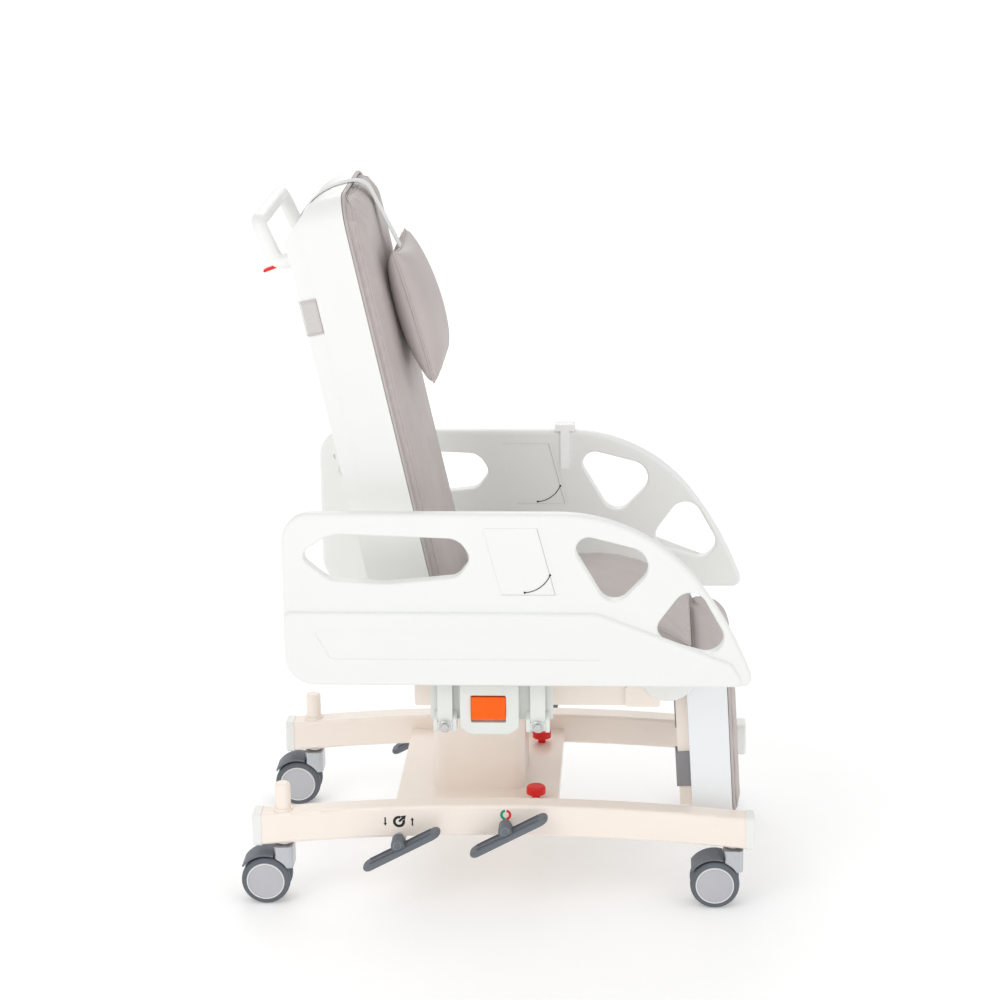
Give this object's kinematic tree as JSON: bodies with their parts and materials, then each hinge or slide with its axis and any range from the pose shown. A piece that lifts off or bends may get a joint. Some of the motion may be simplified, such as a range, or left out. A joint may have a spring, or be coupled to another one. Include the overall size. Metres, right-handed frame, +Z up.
{
  "type": "transfer chair",
  "caption": "Wheeled patient transfer chair: telescopic lift, reclining back, rising leg rest and side boards that swing down, on a low base with swivel casters and foot pedals.",
  "frame": {"origin": "on the floor, under the middle of the whole chair's box", "axes": "+X to the front, +Y to the sitter's left, +Z up"},
  "size_m": [1.042, 0.69, 1.4421],
  "materials": {
    "cream_paint": "warm cream powder coat, fine orange peel",
    "white_moulding": "white moulded panel with a soft sheen",
    "pearl_moulding": "cool white moulded panel",
    "taupe_vinyl": "taupe grey upholstery vinyl, fine grain",
    "slate_plastic": "slate grey moulded plastic, fine texture",
    "grey_tread": "grey non-marking tread",
    "pale_hub": "pale grey moulded hub",
    "cast_alloy": "cast and brushed alloy swivel bracket",
    "bright_steel": "turned steel",
    "frame_paint": "cream powder coat",
    "latch_moulding": "pale grey moulded fittings",
    "orange_plastic": "orange release handle",
    "red_plastic": "red moulded button",
    "grey_plastic": "mid grey sliding bush",
    "grey_web": "grey woven band",
    "white_web": "white woven strap"
  },
  "bodies": {
    "base": {"right_base_rail": "cream_paint", "left_base_rail": "cream_paint", "rail_end_caps": "white_moulding", "accessory_posts": "cream_paint", "base_tray": "cream_paint", "column_cover": "cream_paint", "lift_cylinder": "bright_steel"},
    "lift_pedal": {"lift_pedal_shaft": "bright_steel", "lift_pedals": "slate_plastic"},
    "brake_pedal": {"brake_pedal_shafts": "bright_steel", "brake_pedals": "slate_plastic"},
    "right_button": {"right_release_button": "red_plastic"},
    "left_button": {"left_release_button": "red_plastic"},
    "middle_stage": {"column_middle": "cream_paint"},
    "carriage": {"lift_column": "cream_paint", "lift_rod": "bright_steel", "seat_frame": "frame_paint", "seat_pan": "white_moulding", "seat_cushion": "taupe_vinyl", "hinge_ears": "bright_steel", "leg_hinge_covers": "white_moulding", "right_latch_housing": "latch_moulding", "left_latch_housing": "latch_moulding"},
    "backrest": {"back_shell": "white_moulding", "back_rear_cover": "white_moulding", "back_cushion": "taupe_vinyl", "push_handle": "white_moulding", "rear_band": "grey_web", "head_pillow": "taupe_vinyl", "pillow_strap": "white_web"},
    "lever": {"recline_lever": "red_plastic"},
    "leg_frame": {"leg_arms": "frame_paint"},
    "leg_rest": {"leg_panel": "pearl_moulding", "leg_cushion": "taupe_vinyl", "leg_bushings": "grey_plastic"},
    "right_arms": {"right_board_arms": "latch_moulding"},
    "right_board": {"right_side_board": "white_moulding", "right_board_brackets": "latch_moulding"},
    "right_latch": {"right_latch_handle": "orange_plastic"},
    "left_arms": {"left_board_arms": "latch_moulding"},
    "left_board": {"left_side_board": "white_moulding", "left_board_brackets": "latch_moulding", "accessory_clip": "white_moulding"},
    "left_latch": {"left_latch_handle": "orange_plastic"},
    "front_right_fork": {"front_right_caster_bracket": "cast_alloy", "front_right_caster_fender": "slate_plastic"},
    "front_right_wheel": {"front_right_caster_wheels": "grey_tread", "front_right_caster_hubs": "pale_hub"},
    "front_left_fork": {"front_left_caster_bracket": "cast_alloy", "front_left_caster_fender": "slate_plastic"},
    "front_left_wheel": {"front_left_caster_wheels": "grey_tread", "front_left_caster_hubs": "pale_hub"},
    "rear_right_fork": {"rear_right_caster_bracket": "cast_alloy", "rear_right_caster_fender": "slate_plastic"},
    "rear_right_wheel": {"rear_right_caster_wheels": "grey_tread", "rear_right_caster_hubs": "pale_hub"},
    "rear_left_fork": {"rear_left_caster_bracket": "cast_alloy", "rear_left_caster_fender": "slate_plastic"},
    "rear_left_wheel": {"rear_left_caster_wheels": "grey_tread", "rear_left_caster_hubs": "pale_hub"}
  },
  "joints": [
    {"name": "front_right_swivel", "type": "hinge", "parent": "base", "child": "front_right_fork", "pos_m": [0.478, -0.262, 0.1], "axis": [0, 0, 1], "continuous": true},
    {"name": "front_right_roll", "type": "hinge", "parent": "front_right_fork", "child": "front_right_wheel", "pos_m": [0.441, -0.262, 0.05], "axis": [0, 1, 0], "continuous": true},
    {"name": "front_left_swivel", "type": "hinge", "parent": "base", "child": "front_left_fork", "pos_m": [0.478, 0.262, 0.1], "axis": [0, 0, 1], "continuous": true},
    {"name": "front_left_roll", "type": "hinge", "parent": "front_left_fork", "child": "front_left_wheel", "pos_m": [0.441, 0.262, 0.05], "axis": [0, 1, 0], "continuous": true},
    {"name": "rear_right_swivel", "type": "hinge", "parent": "base", "child": "rear_right_fork", "pos_m": [-0.434, -0.262, 0.1], "axis": [0, 0, 1], "continuous": true},
    {"name": "rear_right_roll", "type": "hinge", "parent": "rear_right_fork", "child": "rear_right_wheel", "pos_m": [-0.471, -0.262, 0.05], "axis": [0, 1, 0], "continuous": true},
    {"name": "rear_left_swivel", "type": "hinge", "parent": "base", "child": "rear_left_fork", "pos_m": [-0.434, 0.262, 0.1], "axis": [0, 0, 1], "continuous": true},
    {"name": "rear_left_roll", "type": "hinge", "parent": "rear_left_fork", "child": "rear_left_wheel", "pos_m": [-0.471, 0.262, 0.05], "axis": [0, 1, 0], "continuous": true},
    {"name": "lift_pedal_press", "type": "hinge", "parent": "base", "child": "lift_pedal", "pos_m": [-0.196, 0, 0.15], "axis": [0, 1, 0], "range_deg": [0, 30], "stiffness_Nm_per_rad": 12, "springref_deg": -5.73},
    {"name": "brake_pedal_turn", "type": "hinge", "parent": "base", "child": "brake_pedal", "pos_m": [0.02, 0, 0.182], "axis": [0, 1, 0], "range_deg": [0, 56]},
    {"name": "right_button_press", "type": "slide", "parent": "base", "child": "right_button", "axis": [0, 0, -1], "range_m": [0, 0.008], "stiffness_N_per_m": 600, "springref_m": -0.003},
    {"name": "left_button_press", "type": "slide", "parent": "base", "child": "left_button", "axis": [0, 0, -1], "range_m": [0, 0.008], "stiffness_N_per_m": 600, "springref_m": -0.003},
    {"name": "lift_slide", "type": "slide", "parent": "base", "child": "carriage", "axis": [0, 0, 1], "range_m": [0, 0.2]},
    {"name": "middle_stage_slide", "type": "slide", "parent": "base", "child": "middle_stage", "axis": [0, 0, 1], "range_m": [0, 0.1]},
    {"name": "back_recline", "type": "hinge", "parent": "carriage", "child": "backrest", "pos_m": [-0.13, 0, 0.56], "axis": [0, -1, 0], "range_deg": [0, 78]},
    {"name": "recline_lever_pull", "type": "hinge", "parent": "backrest", "child": "lever", "pos_m": [-0.39781, -0.118, 1.3005], "axis": [0, 1, 0], "range_deg": [0, 12], "stiffness_Nm_per_rad": 1.5, "springref_deg": -8.59},
    {"name": "leg_raise", "type": "hinge", "parent": "carriage", "child": "leg_frame", "pos_m": [0.345, 0, 0.478], "axis": [0, -1, 0], "range_deg": [0, 85]},
    {"name": "leg_extend", "type": "slide", "parent": "leg_frame", "child": "leg_rest", "axis": [0.0523, 0, -0.9986], "range_m": [0, 0.0905]},
    {"name": "right_arm_swing", "type": "hinge", "parent": "carriage", "child": "right_arms", "pos_m": [0, -0.293, 0.392], "axis": [1, 0, 0], "range_deg": [0, 170]},
    {"name": "right_board_level", "type": "hinge", "parent": "right_arms", "child": "right_board", "pos_m": [0, -0.293, 0.522], "axis": [1, 0, 0], "range_deg": [-170, 0]},
    {"name": "right_latch_pull", "type": "hinge", "parent": "carriage", "child": "right_latch", "pos_m": [-0.011, -0.3, 0.449], "axis": [-1, 0, 0], "range_deg": [0, 15], "stiffness_Nm_per_rad": 1.5, "springref_deg": -8.59},
    {"name": "left_arm_swing", "type": "hinge", "parent": "carriage", "child": "left_arms", "pos_m": [0, 0.293, 0.392], "axis": [-1, 0, 0], "range_deg": [0, 170]},
    {"name": "left_board_level", "type": "hinge", "parent": "left_arms", "child": "left_board", "pos_m": [0, 0.293, 0.522], "axis": [-1, 0, 0], "range_deg": [-170, 0]},
    {"name": "left_latch_pull", "type": "hinge", "parent": "carriage", "child": "left_latch", "pos_m": [-0.011, 0.3, 0.449], "axis": [1, 0, 0], "range_deg": [0, 15], "stiffness_Nm_per_rad": 1.5, "springref_deg": -8.59}
  ],
  "couplings": [
    {"joint": "middle_stage_slide", "follows": "lift_slide", "ratio": 0.5},
    {"joint": "leg_extend", "follows": "leg_raise", "m_per_rad": 0.060666},
    {"joint": "right_board_level", "follows": "right_arm_swing", "ratio": -1},
    {"joint": "left_board_level", "follows": "left_arm_swing", "ratio": -1}
  ]
}
